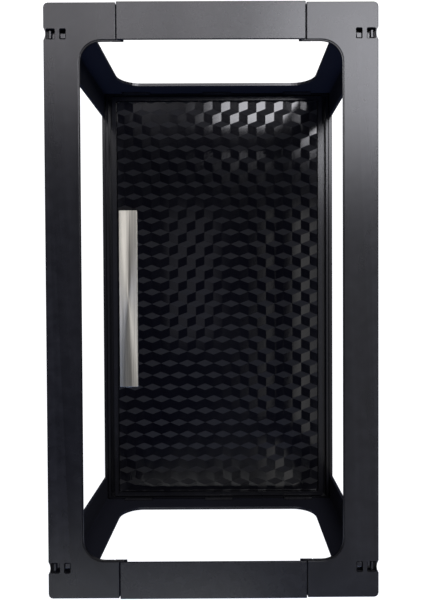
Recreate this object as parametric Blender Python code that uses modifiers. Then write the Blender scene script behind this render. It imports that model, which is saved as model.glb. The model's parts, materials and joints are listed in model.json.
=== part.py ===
"""Open display stand for a 1:18 model car: tray, two end frames and two lift-off long rails.

X runs across the stand (front at -X), Y along it, Z up. The origin is at the centre of the
footprint, on the surface that the stand rests on. Sizes are in millimetres, and MM turns them
into metres where a shape is made.
"""
import math

import bmesh
import bpy
from mathutils import Matrix, Vector

MM = 0.001
CLEAR = 0.3                    # gap between neighbouring pieces
PAST = 5.0                     # how far a cutter runs past what it cuts
JOIN = 0.1                     # how far a joined shape stands inside its neighbour's face
ROOT = 0.6                     # how far a joined shape runs into the plate that carries it

# Whole stand
HALF_X = 91.0
HALF_Y = 163.0
TOP_Z = 149.0
CORNER_R = 3.0
WALL = 2.0
POST_WIDTH = 18.0              # corner post beside an end window
POST_LEG = 19.5                # its leg along a long side

# Base tray
TRAY_BOTTOM_Z = 1.5
RIM_Z = 10.0
DECK_Z = 5.0
DECK_UNDERSIDE_Z = 2.9
WELL_R = 1.5
DECK_HALF_X = 79.7
DECK_HALF_Y = 155.6
SKIRT = 3.0
RIB = 1.6
RIB_BOTTOM_Z = (1.9, 2.0)      # lengthways, crossways
RIB_ROOT = 0.6                 # how far a rib runs up into the deck
LONG_RIB_X = (-40.0, 0.0, 40.0)
CROSS_RIB_Y = (-110.0, -37.0, 37.0, 110.0)
SEAT_GROOVE = ((88.5, 161.3), (87.7, 160.9), 8.0)     # outer half sizes, inner half sizes, floor
PANEL_GROOVE = ((86.1, 159.5), (83.1, 158.7), 5.6)
TONGUE_X = (-63.5, 0.0, 63.0)
TONGUE_WIDTH = 21.5
TONGUE_TOP_Z = 14.0
TONGUE_Y = (159.6, 160.7)
BARB_REACH = 0.9
BARB_Z = (12.0, 13.2)
BARB_TIP = 0.4
POCKET_CLEAR = 0.5
POCKET = 1.1                   # depth of a barb's pocket in the end wall

# End frames
SILL_Z = 27.0
HEAD_Z = 140.0
WINDOW_R = 16.0
SHORT_RAIL_HALF_X = 51.5
SHORT_RAIL_Y = (142.9, 163.5)
SHORT_RAIL_EDGE = 0.8          # thickness along the inner edge, which is rebated underneath
REBATE = 1.2
LAP_X = (48.0, 54.6)           # lap under each seam, from the middle plane
LAP_Y = (142.8, 160.7)
LAP_Z = (145.9, 146.7)
SHELF_Z = (143.5, 145.5)
SHELF_X = (77.0, 90.0)
SHELF_Y = (143.0, 162.0)

# Long top rails
PLATE = 2.0
RAIL_WIDTH = 19.0
ARM_WIDTH = 20.3
ARM_END_X = 51.95
INNER_R = 12.0
RAIL_CORNER_R = 2.5
LIP = 1.8
LIP_BOTTOM_Z = 146.0
LIP_START_X = 55.1
BEAD = 0.35                    # narrow bead on the plate's inner side
BEAD_Z = (147.4, 148.5)
TONGUE_END_X = 49.3            # the bead runs past the seam as a locating tongue
ARC_STEP = 1.5                 # radius for each step of a corner's arc
EDGE = 0.35                    # rounding of the plates' edges
SLOTS = ((87.1, 5.0), (80.5, 3.6))                    # centre from the middle plane, width
SLOT_Y = 146.0
SLOT_LENGTH = 6.0
SLOT_R = 0.7
HOOK_NEAR_Y = 143.7
HOOKS = ((87.6, 1.2, 4.2, 148.4),                     # centre, width, length, top
         (85.75, 1.3, 2.6, 147.7),
         (80.5, 2.6, 2.6, 148.5))
HOOK_HEAD = 1.4
HOOK_R = 0.3
HOOK_EDGE = 0.15
HOOK_OVERHANG = 0.5            # how far a hook's head stands out past its stem
NOTCH_LENGTH = 7.0
NOTCH_DEPTH = 1.1
NOTCH_HEIGHT = 8.0
NOTCH_SIDES = 64

# Embossed floor panel
PANEL_HALF_X = DECK_HALF_X - CLEAR
PANEL_HALF_Y = DECK_HALF_Y - CLEAR
PANEL_BASE_Z = DECK_Z + CLEAR
PANEL_LOW_Z = 7.7
RELIEF = 0.55
CUBE_HALF = 7.0
CUBE_SLANT = 2.7
CUBE_EDGE = 6.8
PATTERN_SHIFT = (3.3, 1.5)

# Name plate and foot pads
NAMEPLATE = (14.6, 140.5, 1.0)
NAMEPLATE_R = 0.6
NAMEPLATE_EDGE = 0.2
NAMEPLATE_X = -71.2
NAMEPLATE_Y = -1.0
PAD_R = 7.0
PAD_X = 76.0
PAD_Y = 146.0

PARTS = "display_stand"
CUTTERS = "cutters"


def clear_scene():
    for old in list(bpy.data.objects):
        bpy.data.objects.remove(old, do_unlink=True)
    for name in (PARTS, CUTTERS):
        bpy.context.scene.collection.children.link(bpy.data.collections.new(name))


def material(name, colour, roughness, metallic=0.0):
    made = bpy.data.materials.new(name)
    made.use_nodes = True
    shader = made.node_tree.nodes["Principled BSDF"]
    shader.inputs["Base Color"].default_value = (*colour, 1.0)
    shader.inputs["Roughness"].default_value = roughness
    shader.inputs["Metallic"].default_value = metallic
    made.diffuse_color = (*colour, 1.0)
    return made


def link(mesh, name, collection=PARTS):
    made = bpy.data.objects.new(name, mesh)
    bpy.data.collections[collection].objects.link(made)
    if collection == CUTTERS:
        made.hide_render = True
        made.display_type = "WIRE"
    return made


def finish(made, look):
    made.data.materials.clear()
    made.data.materials.append(look)
    made.data.shade_smooth()
    made.data.set_sharp_from_angle(angle=math.radians(30))
    return made


def box(name, low, high, collection=CUTTERS):
    """A box between two corners."""
    low, high = Vector(low) * MM, Vector(high) * MM
    bm = bmesh.new()
    bmesh.ops.create_cube(bm, size=1.0)
    bmesh.ops.scale(bm, vec=high - low, verts=bm.verts)
    bmesh.ops.translate(bm, vec=(low + high) / 2, verts=bm.verts)
    mesh = bpy.data.meshes.new(name)
    bm.to_mesh(mesh)
    bm.free()
    return link(mesh, name, collection)


def cylinder(name, centre, radius, z_low, z_high, sides=48, collection=CUTTERS):
    bm = bmesh.new()
    bmesh.ops.create_cone(bm, cap_ends=True, segments=sides, radius1=radius * MM,
                          radius2=radius * MM, depth=(z_high - z_low) * MM)
    middle = Vector((centre[0], centre[1], (z_low + z_high) / 2)) * MM
    bmesh.ops.translate(bm, vec=middle, verts=bm.verts)
    mesh = bpy.data.meshes.new(name)
    bm.to_mesh(mesh)
    bm.free()
    return link(mesh, name, collection)


def rounded(corners):
    """Outline from (x, y) or (x, y, radius) corners, each radius as an arc of equal steps."""
    outline = []
    count = len(corners)
    for i, corner in enumerate(corners):
        here = Vector(corner[:2])
        radius = corner[2] if len(corner) > 2 else 0.0
        if radius == 0.0:
            outline.append(here)
            continue
        back = (Vector(corners[i - 1][:2]) - here).normalized()
        ahead = (Vector(corners[(i + 1) % count][:2]) - here).normalized()
        half = back.angle(ahead) / 2
        steps = max(3, math.ceil(radius / ARC_STEP))
        centre = here + (back + ahead).normalized() * (radius / math.sin(half))
        start = here + back * (radius / math.tan(half)) - centre
        end = here + ahead * (radius / math.tan(half)) - centre
        turn = -start.angle_signed(end)
        for k in range(steps + 1):
            outline.append(centre + Matrix.Rotation(turn * k / steps, 2) @ start)
    return outline


def rectangle(half_x, half_y, radius=0.0, middle_y=0.0):
    signs = ((-1, -1), (1, -1), (1, 1), (-1, 1))
    return [(sx * half_x, middle_y + sy * half_y, radius) for sx, sy in signs]


def slab(name, outlines, low, high, upright=False, edge=0.0, collection=CUTTERS):
    """A flat outline, with any holes, made solid from low to high along Z, or Y if upright."""
    curve = bpy.data.curves.new(name, "CURVE")
    curve.dimensions = "2D"
    curve.fill_mode = "BOTH"
    curve.extrude = (high - low) / 2 * MM
    for corners in outlines:
        outline = rounded(corners)
        spline = curve.splines.new("POLY")
        spline.points.add(len(outline) - 1)
        for point, place in zip(spline.points, outline):
            point.co = (place.x * MM, place.y * MM, 0.0, 1.0)
        spline.use_cyclic_u = True
    flat = link(curve, name, CUTTERS)
    bpy.context.view_layer.update()
    seen = flat.evaluated_get(bpy.context.evaluated_depsgraph_get())
    mesh = bpy.data.meshes.new_from_object(seen)
    bpy.data.objects.remove(flat)
    middle = (low + high) / 2 * MM
    place = Matrix.Translation((0, 0, middle))
    if upright:
        place = Matrix.Translation((0, middle, 0)) @ Matrix.Rotation(math.pi / 2, 4, "X")
    bm = bmesh.new()
    bm.from_mesh(mesh)
    bmesh.ops.remove_doubles(bm, verts=bm.verts, dist=0.00001)
    bmesh.ops.transform(bm, matrix=place, verts=bm.verts)
    bmesh.ops.dissolve_limit(bm, angle_limit=0.01, verts=bm.verts, edges=bm.edges)
    bmesh.ops.recalc_face_normals(bm, faces=bm.faces)
    bm.to_mesh(mesh)
    bm.free()
    made = link(mesh, name, collection)
    if edge:
        bevel = made.modifiers.new("edge", "BEVEL")
        bevel.width = edge * MM
        bevel.segments = 2
        bevel.limit_method = "ANGLE"
        bevel.angle_limit = math.radians(50)
        settle(made)
    return made


def settle(made):
    """Turn an object's modifiers into its mesh."""
    bpy.context.view_layer.update()
    seen = made.evaluated_get(bpy.context.evaluated_depsgraph_get())
    mesh = bpy.data.meshes.new_from_object(seen)
    made.modifiers.clear()
    made.data = mesh


def combine(made, others, operation):
    """Join others to an object (UNION) or cut them from it (DIFFERENCE)."""
    for other in others:
        step = made.modifiers.new(operation.lower(), "BOOLEAN")
        step.operation = operation
        step.solver = "EXACT"
        step.object = other
        settle(made)
        bpy.data.objects.remove(other, do_unlink=True)
    return made


def base_tray(look):
    tray = slab("base_tray", [rectangle(HALF_X, HALF_Y, CORNER_R)], TRAY_BOTTOM_Z, RIM_Z,
                edge=EDGE, collection=PARTS)
    well = slab("well", [rectangle(DECK_HALF_X, DECK_HALF_Y, WELL_R)], DECK_Z, RIM_Z + PAST)
    under = slab("under", [rectangle(HALF_X - SKIRT, HALF_Y - SKIRT, WELL_R)],
                 TRAY_BOTTOM_Z - PAST, DECK_UNDERSIDE_Z)
    grooves = []
    for i, (outer, inner, floor_z) in enumerate((SEAT_GROOVE, PANEL_GROOVE)):
        rings = [rectangle(*outer, WELL_R), rectangle(*inner, WELL_R)]
        grooves.append(slab(f"groove_{i}", rings, floor_z, RIM_Z + PAST))
    combine(tray, [well, under, *grooves], "DIFFERENCE")
    ribs = []
    reach_x, reach_y = HALF_X - SKIRT + ROOT, HALF_Y - SKIRT + ROOT
    for x in LONG_RIB_X:
        ribs.append(box("long_rib", (x - RIB / 2, -reach_y, RIB_BOTTOM_Z[0]),
                        (x + RIB / 2, reach_y, DECK_UNDERSIDE_Z + RIB_ROOT)))
    for y in CROSS_RIB_Y:
        ribs.append(box("cross_rib", (-reach_x, y - RIB / 2, RIB_BOTTOM_Z[1]),
                        (reach_x, y + RIB / 2, DECK_UNDERSIDE_Z + RIB_ROOT + JOIN)))
    tongues = [tongue(x, side) for side in (-1, 1) for x in TONGUE_X]
    combine(tray, ribs + tongues, "UNION")
    return finish(tray, look)


def tongue(x, side):
    """An upright snap tongue with a barb that catches in the end wall."""
    inner, outer = TONGUE_Y
    half = TONGUE_WIDTH / 2
    profile = [(inner, RIM_Z - ROOT), (outer, RIM_Z - ROOT), (outer, BARB_Z[0]),
               (outer + BARB_REACH, BARB_Z[0]), (outer + BARB_REACH, BARB_Z[0] + BARB_TIP),
               (outer, BARB_Z[1]), (outer, TONGUE_TOP_Z), (inner, TONGUE_TOP_Z)]
    made = slab(f"tongue_{x}_{side}", [profile], -half, half, upright=True)
    turn = Matrix.Rotation(math.pi / 2 * side, 4, "Z")
    made.data.transform(Matrix.Translation((x * MM, 0, 0)) @ turn)
    return made


def floor_panel(look):
    """A panel whose top is a tumbling-block pattern: each block has a high middle corner."""
    bm = bmesh.new()
    corners = {}

    def corner(x, y, rise):
        key = (round(x, 2), round(y, 2))
        if key not in corners:
            height = PANEL_LOW_Z + rise * RELIEF
            corners[key] = bm.verts.new(Vector((x, y, height)) * MM)
        return corners[key]

    row_step = CUBE_EDGE + CUBE_SLANT
    rows = math.ceil(PANEL_HALF_Y / row_step) + 2
    columns = math.ceil(PANEL_HALF_X / (2 * CUBE_HALF)) + 2
    for row in range(-rows, rows + 1):
        shift = CUBE_HALF if row % 2 else 0.0
        for column in range(-columns, columns + 1):
            x = column * 2 * CUBE_HALF + shift + PATTERN_SHIFT[0]
            y = row * row_step + PATTERN_SHIFT[1]
            middle = corner(x, y, 1.0)
            left = corner(x - CUBE_HALF, y + CUBE_SLANT, 0.5)
            right = corner(x + CUBE_HALF, y + CUBE_SLANT, 0.5)
            bottom = corner(x, y - CUBE_EDGE, 0.5)
            top = corner(x, y + 2 * CUBE_SLANT, 0.0)
            low_left = corner(x - CUBE_HALF, y + CUBE_SLANT - CUBE_EDGE, 0.0)
            low_right = corner(x + CUBE_HALF, y + CUBE_SLANT - CUBE_EDGE, 0.0)
            bm.faces.new((middle, right, top, left))
            bm.faces.new((middle, bottom, low_right, right))
            bm.faces.new((middle, left, low_left, bottom))
    sheet = bmesh.ops.extrude_face_region(bm, geom=bm.faces[:])
    lowered = [item for item in sheet["geom"] if isinstance(item, bmesh.types.BMVert)]
    for vert in lowered:
        vert.co.z = (PANEL_BASE_Z - PAST) * MM
    bmesh.ops.recalc_face_normals(bm, faces=bm.faces)
    mesh = bpy.data.meshes.new("floor_panel")
    bm.to_mesh(mesh)
    bm.free()
    panel = link(mesh, "floor_panel")
    trim = slab("trim", [rectangle(PANEL_HALF_X, PANEL_HALF_Y, WELL_R - CLEAR)],
                PANEL_BASE_Z, PANEL_LOW_Z + PAST)
    combine(panel, [trim], "INTERSECT")
    return finish(panel, look)


def end_frame(name, side, look):
    """End wall, wrap-round posts, short top rail, hook shelves: built at +Y, turned for -Y."""
    low, high = RIM_Z + CLEAR, TOP_Z - PLATE - CLEAR
    leg_y = HALF_Y - POST_LEG
    inner_x, inner_y = HALF_X - WALL, HALF_Y - WALL
    plan = [(-HALF_X, leg_y), (-inner_x, leg_y), (-inner_x, inner_y, CORNER_R - WALL),
            (inner_x, inner_y, CORNER_R - WALL), (inner_x, leg_y), (HALF_X, leg_y),
            (HALF_X, HALF_Y, CORNER_R), (-HALF_X, HALF_Y, CORNER_R)]
    frame = slab(name, [plan], low, high, collection=PARTS)
    window = [(-HALF_X + POST_WIDTH, SILL_Z, WINDOW_R), (HALF_X - POST_WIDTH, SILL_Z, WINDOW_R),
              (HALF_X - POST_WIDTH, HEAD_Z, WINDOW_R), (-HALF_X + POST_WIDTH, HEAD_Z, WINDOW_R)]
    cuts = [slab("window", [window], inner_y - PAST, HALF_Y + PAST, upright=True)]
    for x in TONGUE_X:
        half = TONGUE_WIDTH / 2 + POCKET_CLEAR
        cuts.append(box("pocket", (side * x - half, inner_y - PAST, BARB_Z[0] - POCKET_CLEAR),
                        (side * x + half, inner_y + POCKET, BARB_Z[1] + POCKET_CLEAR)))
    combine(frame, cuts, "DIFFERENCE")
    near, far = SHORT_RAIL_Y
    rail = [(-SHORT_RAIL_HALF_X, near), (SHORT_RAIL_HALF_X, near),
            (SHORT_RAIL_HALF_X, far), (-SHORT_RAIL_HALF_X, far)]
    plate = slab("short_rail", [rail], TOP_Z - PLATE, TOP_Z, edge=EDGE)
    rebate = box("rebate", (-HALF_X, near - PAST, TOP_Z - PLATE - PAST),
                 (HALF_X, near + REBATE, TOP_Z - SHORT_RAIL_EDGE))
    combine(plate, [rebate], "DIFFERENCE")
    neck_x = SHORT_RAIL_HALF_X - 2 * ROOT
    joined = [plate,
              box("stiffener", (-neck_x, near + REBATE + JOIN, LAP_Z[0] - JOIN),
                  (neck_x, near + REBATE + LIP, TOP_Z - ROOT)),
              box("neck", (-neck_x, inner_y + 2 * JOIN, high - PLATE),
                  (neck_x, HALF_Y - 2 * JOIN, TOP_Z - ROOT - JOIN))]
    for hand in (-1, 1):
        joined.append(span("lap", hand, LAP_X, LAP_Y, LAP_Z))
        root_y = (near + REBATE + 2 * JOIN, LAP_Y[1] - JOIN)
        joined.append(span("lap_root", hand, (LAP_X[0] + JOIN, neck_x + ROOT), root_y,
                           (LAP_Z[0] + JOIN, TOP_Z - ROOT - 2 * JOIN)))
        joined += hook_shelf(hand)
    combine(frame, joined, "UNION")
    notches = [notch(hand * HALF_X, SLOT_Y) for hand in (-1, 1)]
    combine(frame, notches, "DIFFERENCE")
    if side < 0:
        frame.data.transform(Matrix.Rotation(math.pi, 4, "Z"))
    return finish(frame, look)


def hook_shelf(hand):
    """The corner shelf under a long rail's arm, with the hooks that stand in the rail's slots."""
    made = [span("shelf", hand, SHELF_X, SHELF_Y, SHELF_Z)]
    for x, width, length, top in HOOKS:
        half = width / 2
        near, far = HOOK_NEAR_Y, HOOK_NEAR_Y + length
        made.append(span("stem", hand, (x - half + JOIN, x + half - JOIN),
                         (near + HOOK_OVERHANG, far - JOIN), (SHELF_Z[1] - ROOT, top - ROOT)))
        left, right = sorted((hand * (x - half), hand * (x + half)))
        head = [(left, near, HOOK_R), (right, near, HOOK_R),
                (right, far, HOOK_R), (left, far, HOOK_R)]
        made.append(slab("head", [head], top - HOOK_HEAD, top, edge=HOOK_EDGE))
    return made


def notch(edge_x, y):
    """Cutter for the shallow finger notch in the outer side edge, beside the hooks."""
    radius = NOTCH_LENGTH ** 2 / (8 * NOTCH_DEPTH) + NOTCH_DEPTH / 2
    centre_x = math.copysign(abs(edge_x) + radius - NOTCH_DEPTH, edge_x)
    return cylinder("notch", (centre_x, y), radius, TOP_Z - NOTCH_HEIGHT, TOP_Z + PAST, sides=NOTCH_SIDES)


def span(name, hand, x, y, z):
    """A box on the side that hand names, given as distances from the middle plane."""
    low_x, high_x = sorted((hand * x[0], hand * x[1]))
    return box(name, (low_x, y[0], z[0]), (high_x, y[1], z[1]))


def strip(near_x, near_y, start_x, width):
    """Outline of an even strip along a long rail's inner edge, from one arm round to the other."""
    far_x, far_y = near_x + width, near_y + width
    radius = INNER_R + near_x - (HALF_X - RAIL_WIDTH)
    return [(-start_x, -near_y), (-near_x, -near_y, radius), (-near_x, near_y, radius),
            (-start_x, near_y), (-start_x, far_y), (-far_x, far_y, radius + width),
            (-far_x, -far_y, radius + width), (-start_x, -far_y)]


def long_rail(name, side, look):
    """A long top rail with its corner arms, built at -X and turned for +X."""
    bar_x = HALF_X - RAIL_WIDTH
    arm_y = HALF_Y - ARM_WIDTH
    plan = [(-HALF_X, -HALF_Y, RAIL_CORNER_R), (-ARM_END_X, -HALF_Y), (-ARM_END_X, -arm_y),
            (-bar_x, -arm_y, INNER_R), (-bar_x, arm_y, INNER_R), (-ARM_END_X, arm_y),
            (-ARM_END_X, HALF_Y), (-HALF_X, HALF_Y, RAIL_CORNER_R)]
    rail = slab(name, [plan], TOP_Z - PLATE, TOP_Z, edge=EDGE, collection=PARTS)
    lip = strip(bar_x + JOIN, arm_y + JOIN, LIP_START_X, LIP)
    bead = strip(bar_x - BEAD, arm_y - BEAD, ARM_END_X + JOIN, BEAD + 2 * JOIN)
    skirt_y = SHELF_Y[0] - 2 * CLEAR
    joined = [slab("lip", [lip], LIP_BOTTOM_Z, TOP_Z - ROOT),
              slab("bead", [bead], *BEAD_Z),
              box("skirt", (-HALF_X + JOIN, -skirt_y, LIP_BOTTOM_Z + JOIN),
                  (-HALF_X + LIP, skirt_y, TOP_Z - ROOT - JOIN))]
    for end in (-1, 1):
        low_y, high_y = sorted((end * (arm_y - BEAD + JOIN / 4), end * (arm_y - JOIN)))
        joined.append(box("rail_tongue", (-ARM_END_X - LIP, low_y, BEAD_Z[0] + JOIN),
                          (-TONGUE_END_X, high_y, BEAD_Z[1] - JOIN)))
    combine(rail, joined, "UNION")
    cuts = []
    for end in (-1, 1):
        for x, width in SLOTS:
            hole = rectangle(width / 2, SLOT_LENGTH / 2, SLOT_R, middle_y=end * SLOT_Y)
            slot = slab("slot", [hole], TOP_Z - PLATE - PAST, TOP_Z + PAST)
            slot.data.transform(Matrix.Translation((-x * MM, 0, 0)))
            cuts.append(slot)
        cuts.append(notch(-HALF_X, end * SLOT_Y))
    combine(rail, cuts, "DIFFERENCE")
    if side > 0:
        rail.data.transform(Matrix.Rotation(math.pi, 4, "Z"))
    return finish(rail, look)


def nameplate(look):
    width, length, thick = NAMEPLATE
    low = PANEL_LOW_Z + RELIEF + CLEAR
    plate = slab("nameplate", [rectangle(width / 2, length / 2, NAMEPLATE_R)], low, low + thick,
                 edge=NAMEPLATE_EDGE, collection=PARTS)
    plate.data.transform(Matrix.Translation((NAMEPLATE_X * MM, NAMEPLATE_Y * MM, 0)))
    return finish(plate, look)


def foot_pads(look):
    for along, y in (("left", PAD_Y), ("right", -PAD_Y)):
        for across, x in (("front", -PAD_X), ("rear", PAD_X)):
            pad = cylinder(f"foot_pad_{across}_{along}", (x, y), PAD_R, 0.0,
                           DECK_UNDERSIDE_Z - CLEAR, collection=PARTS)
            finish(pad, look)


def main():
    clear_scene()
    base_tray(material("tray_plastic", (0.020, 0.020, 0.022), 0.38))
    floor_panel(material("floor_plastic", (0.016, 0.016, 0.018), 0.28))
    nameplate(material("brushed_metal", (0.62, 0.62, 0.62), 0.34, 1.0))
    frame_look = material("frame_plastic", (0.014, 0.015, 0.024), 0.34)
    end_frame("left_end_frame", 1, frame_look)
    end_frame("right_end_frame", -1, frame_look)
    rail_look = material("rail_plastic", (0.022, 0.022, 0.024), 0.36)
    long_rail("front_top_rail", -1, rail_look)
    long_rail("rear_top_rail", 1, rail_look)
    foot_pads(material("pad_rubber", (0.030, 0.030, 0.030), 0.85))


main()
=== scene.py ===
"""Looks for the open display stand: materials, edge rounding, studio and camera."""
import json
import math
from collections import namedtuple

import bpy
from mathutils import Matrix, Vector

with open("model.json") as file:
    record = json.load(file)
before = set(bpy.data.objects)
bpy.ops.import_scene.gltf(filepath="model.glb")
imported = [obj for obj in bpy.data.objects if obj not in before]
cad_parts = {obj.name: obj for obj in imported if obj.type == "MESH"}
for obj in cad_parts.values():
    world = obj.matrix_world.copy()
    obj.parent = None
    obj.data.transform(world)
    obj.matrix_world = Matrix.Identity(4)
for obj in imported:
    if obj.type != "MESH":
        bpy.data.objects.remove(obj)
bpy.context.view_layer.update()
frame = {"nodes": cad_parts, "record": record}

MM = 0.001

# Camera: straight down over the open top, with a slight lean
CAMERA_PLACE = (0.00986, 0.00920, 0.4546)
CAMERA_TURN = (-0.0160, -0.0024, -0.0045)    # radians
CAMERA_LENS = 33.56
CAMERA_SHIFT = (-0.0327, -0.0093)
CAMERA_CLIP_START = 10 * MM

# Studio floor
FLOOR_SIZE = 6.0
FLOOR_Z = -0.2 * MM            # just under the foot pads
FLOOR_COLOUR = (0.28, 0.28, 0.28)
FLOOR_ROUGHNESS = 0.9
FLOOR_GLOW = 1.00              # as the camera sees it, for a white background
FLOOR_GLOW_INDIRECT = 0.01     # as the stand's surfaces see it

# Studio light: a soft panel without an aim faces straight down
WORLD_COLOUR = (0.008, 0.009, 0.013)
PANEL_Z = 1.25
Panel = namedtuple("Panel", "name place size power colour aim", defaults=(None,))
PANELS = (
    Panel("window", (0.435, 0.632, PANEL_Z), (0.66, 0.57), 12.0, (0.94, 0.94, 1.0)),
    Panel("sky_panel", (-0.28, 0.72, PANEL_Z), (0.66, 0.40), 4.0, (0.97, 0.95, 1.0)),
    Panel("back_fill", (-0.30, -0.90, PANEL_Z), (0.80, 0.30), 1.7, (0.97, 0.99, 1.0)),
    Panel("top_glow", (-0.25, -0.06, PANEL_Z), (0.16, 0.40), 0.06, (0.9, 0.9, 1.0)),
    Panel("right_glow", (0.345, -0.36, PANEL_Z), (0.16, 1.00), 0.46, (1.0, 0.99, 0.97)),
    Panel("blue_fill", (0.0, -0.95, 0.55), (0.70, 0.35), 5.5, (0.42, 0.55, 1.0),
          aim=(0.0, 0.16, 0.08)),
)

# Rounding of moulded edges
EDGE_ROUNDING = {"left_end_frame": 0.10 * MM, "right_end_frame": 0.10 * MM, "base_tray": 0.25 * MM}
EDGE_SEGMENTS = 2
EDGE_ANGLE = math.radians(50)

# Moulded plastic: scales are in cells per metre, curves are pointiness
CLOUD_SCALE = 9.0              # slow changes of tone over a moulding
FLOW_SCALE = 14.0              # flow marks, drawn out along the stand
FLOW_STRETCH = (1.0, 0.25, 1.0)
FLOW_SMOOTHER, FLOW_ROUGHER = 0.03, 0.05
RUB_SCALE = 160.0              # breaks up the rubbed edges
RUB_CURVE = (0.52, 0.62)
RUB_COLOUR = (0.03, 0.03, 0.035)
GRAIN_SCALE = 2600.0
GRAIN_DEPTH = 0.04 * MM
WAVE_SCALE = 26.0              # faint unevenness of a large flat face
WAVE_DEPTH = 0.4 * MM

# Floor panel: its blocks have matt tops, which lean towards +Y, and glossy sides
BLOCK_TOP_SIDE = (0, 1, 0)
BLOCK_TOP_LEAN = 0.05
BLOCK_TOP_ROUGHNESS = 0.90

# End frames: any face that doesn't point well upwards counts as a wall, which is matt and gets a
# painted blue cast of light on its dark colour
WALL_SIDE = (0, 0, -1)
WALL_LEAN = -0.5
WALL_ROUGHNESS = 0.85
# dark plastic with a painted blue cast, standing in for bluish light falling on the walls
WALL_COLOUR_WITH_PAINTED_BLUE = (0.003, 0.004, 0.013)

# Nameplate
BRUSH_SCALE = 900.0
BRUSH_STRETCH = (1.0, 0.012, 1.0)
BRUSH_DEPTH = 0.03 * MM

# Foot pads
DUST_SCALE = 120.0
PAD_GRAIN_SCALE = 1500.0
PAD_GRAIN_DEPTH = 0.05 * MM


# ---------------------------------------------------------------- materials

class Graph:
    """A short way to build a node material."""

    def __init__(self, name):
        self.material = bpy.data.materials.new(name)
        self.material.use_nodes = True
        self.tree = self.material.node_tree
        self.shader = self.tree.nodes["Principled BSDF"]
        self.place = self.node("ShaderNodeTexCoord").outputs["Object"]

    def node(self, kind, **settings):
        made = self.tree.nodes.new(kind)
        for key, value in settings.items():
            setattr(made, key, value)
        return made

    def join(self, source, target):
        self.tree.links.new(source, target)

    def noise(self, scale, detail=3.0, stretch=(1, 1, 1), rough=0.55):
        mapping = self.node("ShaderNodeMapping")
        mapping.inputs["Scale"].default_value = stretch
        self.join(self.place, mapping.inputs["Vector"])
        made = self.node("ShaderNodeTexNoise")
        made.inputs["Scale"].default_value = scale
        made.inputs["Detail"].default_value = detail
        made.inputs["Roughness"].default_value = rough
        self.join(mapping.outputs["Vector"], made.inputs["Vector"])
        return made.outputs["Fac"]

    def spread(self, value, low, high, source=(0.3, 0.7)):
        """Map a range, by default the one that most of a noise keeps to, to low and high."""
        made = self.node("ShaderNodeMapRange")
        made.inputs["From Min"].default_value = source[0]
        made.inputs["From Max"].default_value = source[1]
        made.inputs["To Min"].default_value = low
        made.inputs["To Max"].default_value = high
        self.join(value, made.inputs["Value"])
        return made.outputs["Result"]

    def mix(self, factor, a, b, kind="RGBA"):
        """a where the factor is 0 and b where it is 1, each a value or another node's output."""
        made = self.node("ShaderNodeMix", data_type=kind)
        self.join(factor, made.inputs["Factor"])
        for key, source in (("A", a), ("B", b)):
            if isinstance(source, bpy.types.NodeSocket):
                self.join(source, made.inputs[key])
            else:
                made.inputs[key].default_value = (*source, 1) if kind == "RGBA" else source
        return made.outputs["Result"]

    def times(self, a, b):
        made = self.node("ShaderNodeMath", operation="MULTIPLY", use_clamp=True)
        self.join(a, made.inputs[0])
        self.join(b, made.inputs[1])
        return made.outputs[0]

    def bump(self, height, distance, strength, before=None):
        made = self.node("ShaderNodeBump")
        made.inputs["Distance"].default_value = distance
        made.inputs["Strength"].default_value = strength
        self.join(height, made.inputs["Height"])
        if before is not None:
            self.join(before, made.inputs["Normal"])
        return made.outputs["Normal"]

    def worn(self, low, high):
        """1 on sharp outer edges and 0 elsewhere."""
        shape = self.node("ShaderNodeNewGeometry").outputs["Pointiness"]
        return self.spread(shape, 0.0, 1.0, (low, high))

    def leans(self, side, least):
        """1 on the faces whose normal leans to a side by more than a value, and 0 elsewhere."""
        lean = self.node("ShaderNodeVectorMath", operation="DOT_PRODUCT")
        self.join(self.node("ShaderNodeNewGeometry").outputs["True Normal"], lean.inputs[0])
        lean.inputs[1].default_value = side
        made = self.node("ShaderNodeMath", operation="GREATER_THAN")
        self.join(lean.outputs["Value"], made.inputs[0])
        made.inputs[1].default_value = least
        return made.outputs[0]

    def repaint(self, where, roughness, colour=None):
        """Change the roughness, and the colour if there is one, on part of the surface."""
        changes = [("Roughness", roughness, "FLOAT")]
        if colour is not None:
            changes.append(("Base Color", colour, "RGBA"))
        for key, new, kind in changes:
            socket = self.shader.inputs[key]
            old = socket.links[0].from_socket
            self.join(self.mix(where, old, new, kind), socket)


def moulded_plastic(name, dark, light, rough, grain=0.3, wave=0.06, index=1.47):
    """Satin moulded plastic: fine spark-eroded grain, faint flow marks, rubbed edges."""
    g = Graph(name)
    tone = g.mix(g.spread(g.noise(CLOUD_SCALE, 4.0), 0.0, 1.0), dark, light)
    rubbed = g.times(g.worn(*RUB_CURVE), g.noise(RUB_SCALE, 2.0))
    g.join(g.mix(rubbed, tone, RUB_COLOUR), g.shader.inputs["Base Color"])
    flow = g.noise(FLOW_SCALE, 3.0, stretch=FLOW_STRETCH)
    g.join(g.spread(flow, rough - FLOW_SMOOTHER, rough + FLOW_ROUGHER),
           g.shader.inputs["Roughness"])
    fine = g.bump(g.noise(GRAIN_SCALE, 2.0), GRAIN_DEPTH, grain)
    g.join(g.bump(g.noise(WAVE_SCALE, 2.0), WAVE_DEPTH, wave, fine), g.shader.inputs["Normal"])
    g.shader.inputs["IOR"].default_value = index
    return g


def embossed_plastic(name):
    """The floor's plastic: matt on the tops of its blocks and glossy on their sides."""
    g = moulded_plastic(name, (0.002, 0.002, 0.004), (0.004, 0.004, 0.006), 0.12,
                        grain=0.1, wave=0.01, index=1.56)
    g.repaint(g.leans(BLOCK_TOP_SIDE, BLOCK_TOP_LEAN), BLOCK_TOP_ROUGHNESS)
    return g


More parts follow.
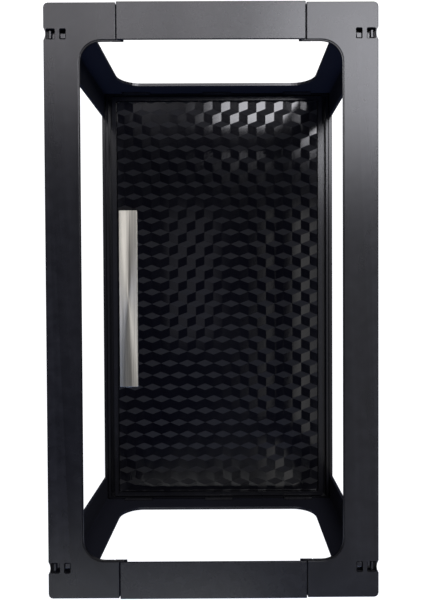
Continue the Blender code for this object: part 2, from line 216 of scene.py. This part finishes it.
def frame_plastic(name):
    """The end frames' plastic: satin black on top, matt on the upright walls, where a blue cast of
    light is painted into the dark colour.
    """
    g = moulded_plastic(name, (0.003, 0.003, 0.005), (0.006, 0.006, 0.008), 0.24, grain=0.2)
    # walls: matt roughness, and a painted blue cast of light in their colour
    g.repaint(g.leans(WALL_SIDE, WALL_LEAN), WALL_ROUGHNESS, WALL_COLOUR_WITH_PAINTED_BLUE)
    return g


def brushed_metal(name):
    """Aluminium brushed along Y."""
    g = Graph(name)
    lines = g.noise(BRUSH_SCALE, 4.0, stretch=BRUSH_STRETCH, rough=0.7)
    tone = g.mix(g.spread(lines, 0.0, 1.0), (0.70, 0.67, 0.58), (0.90, 0.86, 0.75))
    g.join(tone, g.shader.inputs["Base Color"])
    g.join(g.spread(lines, 0.32, 0.48), g.shader.inputs["Roughness"])
    g.join(g.bump(lines, BRUSH_DEPTH, 0.35), g.shader.inputs["Normal"])
    g.shader.inputs["Metallic"].default_value = 1.0
    g.shader.inputs["Anisotropic"].default_value = 0.6
    return g


def rubber(name):
    """Matt black rubber with a little dust."""
    g = Graph(name)
    dust = g.noise(DUST_SCALE, 4.0)
    tone = g.mix(g.spread(dust, 0.0, 1.0), (0.016, 0.016, 0.016), (0.035, 0.034, 0.033))
    g.join(tone, g.shader.inputs["Base Color"])
    g.join(g.spread(dust, 0.75, 0.92), g.shader.inputs["Roughness"])
    g.join(g.bump(g.noise(PAD_GRAIN_SCALE), PAD_GRAIN_DEPTH, 0.5), g.shader.inputs["Normal"])
    return g


LOOKS = {  # by the record's material slot
    "rail_plastic": moulded_plastic("rail_plastic", (0.003, 0.003, 0.005),
                                    (0.006, 0.006, 0.008), 0.27),
    "frame_plastic": frame_plastic("frame_plastic"),
    "tray_plastic": moulded_plastic("tray_plastic", (0.004, 0.004, 0.006),
                                    (0.007, 0.007, 0.009), 0.24),
    "floor_plastic": embossed_plastic("floor_plastic"),
    "brushed_metal": brushed_metal("brushed_metal"),
    "pad_rubber": rubber("pad_rubber"),
}


def dress_nodes():
    for row in frame["record"]["subparts"]:
        node = frame["nodes"][row["node"]]
        node.data.materials.clear()
        node.data.materials.append(LOOKS[row["material_slot"]].material)


def round_edges():
    """A small rounding on the moulded edges, so that they catch the light."""
    for name, width in EDGE_ROUNDING.items():
        step = frame["nodes"][name].modifiers.new("moulded_edge", "BEVEL")
        step.width = width
        step.segments = EDGE_SEGMENTS
        step.limit_method = "ANGLE"
        step.angle_limit = EDGE_ANGLE


# ---------------------------------------------------------------- studio

def studio_floor():
    bpy.ops.mesh.primitive_plane_add(size=FLOOR_SIZE, location=(0, 0, FLOOR_Z))
    floor = bpy.context.object
    floor.name = "studio_floor"
    g = Graph("studio_floor")
    g.shader.inputs["Base Color"].default_value = (*FLOOR_COLOUR, 1)
    g.shader.inputs["Roughness"].default_value = FLOOR_ROUGHNESS
    g.shader.inputs["Emission Color"].default_value = (1, 1, 1, 1)
    seen = g.node("ShaderNodeLightPath").outputs["Is Camera Ray"]
    g.join(g.spread(seen, FLOOR_GLOW_INDIRECT, FLOOR_GLOW, (0.0, 1.0)),
           g.shader.inputs["Emission Strength"])
    floor.data.materials.append(g.material)


def panel_light(panel):
    light = bpy.data.lights.new(panel.name, "AREA")
    light.shape = "RECTANGLE"
    light.size, light.size_y = panel.size
    light.energy = panel.power
    light.color = panel.colour
    made = bpy.data.objects.new(panel.name, light)
    bpy.context.scene.collection.objects.link(made)
    made.location = panel.place
    aim = panel.aim or (*panel.place[:2], 0.0)
    direction = Vector(aim) - Vector(panel.place)
    made.rotation_euler = direction.to_track_quat("-Z", "Y").to_euler()


def studio_light():
    world = bpy.data.worlds.new("studio")
    bpy.context.scene.world = world
    world.use_nodes = True
    world.node_tree.nodes["Background"].inputs["Color"].default_value = (*WORLD_COLOUR, 1)
    for panel in PANELS:
        panel_light(panel)
    bpy.context.scene.view_settings.view_transform = "Standard"


def camera():
    data = bpy.data.cameras.new("camera")
    data.lens = CAMERA_LENS
    data.shift_x, data.shift_y = CAMERA_SHIFT
    data.clip_start = CAMERA_CLIP_START
    made = bpy.data.objects.new("camera", data)
    bpy.context.scene.collection.objects.link(made)
    made.location = CAMERA_PLACE
    made.rotation_euler = CAMERA_TURN
    bpy.context.scene.camera = made


camera()
studio_floor()
studio_light()
dress_nodes()
round_edges()
